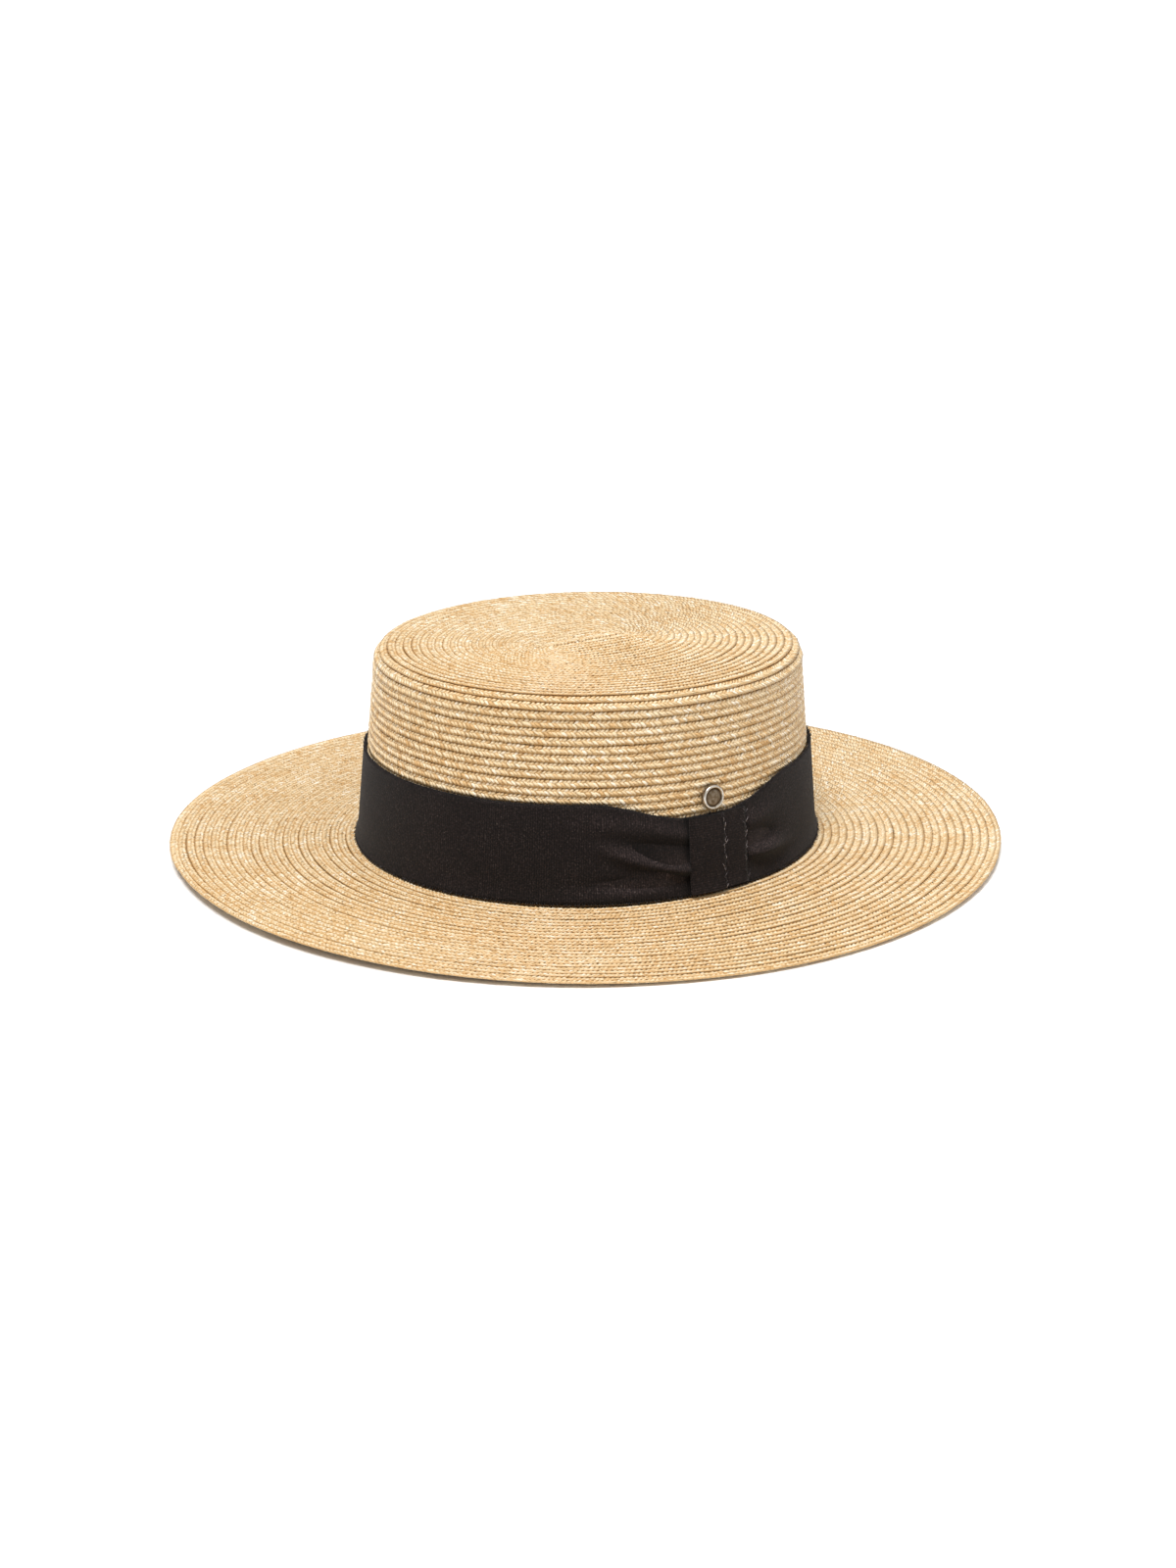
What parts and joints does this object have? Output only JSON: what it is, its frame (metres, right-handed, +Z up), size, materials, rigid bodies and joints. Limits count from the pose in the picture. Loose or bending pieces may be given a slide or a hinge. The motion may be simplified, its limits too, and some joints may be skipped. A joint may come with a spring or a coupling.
{
  "type": "straw boater hat",
  "caption": "Flat-topped straw hat of sewn plaited braid with a wide flat brim, a black ribbon band, a gathered ribbon keeper and a small round metal stud.",
  "frame": {"origin": "middle of the brim's underside, on the surface that the hat rests on", "axes": "+Z up through the crown, -Y towards the wearer's front, +X towards the wearer's left, where the keeper and stud are"},
  "size_m": [0.338, 0.35, 0.084],
  "materials": {
    "crown_straw": "plaited natural wheat straw, satin",
    "brim_straw": "plaited natural wheat straw, satin",
    "ribbon": "matt black ribbed cotton ribbon",
    "keeper_ribbon": "matt black ribbed cotton ribbon, frayed edges",
    "stud_metal": "aged silver-coloured metal, bare"
  },
  "bodies": {
    "root": {"crown": "crown_straw", "brim": "brim_straw", "ribbon_band": "ribbon", "keeper_under": "keeper_ribbon", "keeper_loop": "keeper_ribbon", "badge": "stud_metal"}
  },
  "joints": []
}
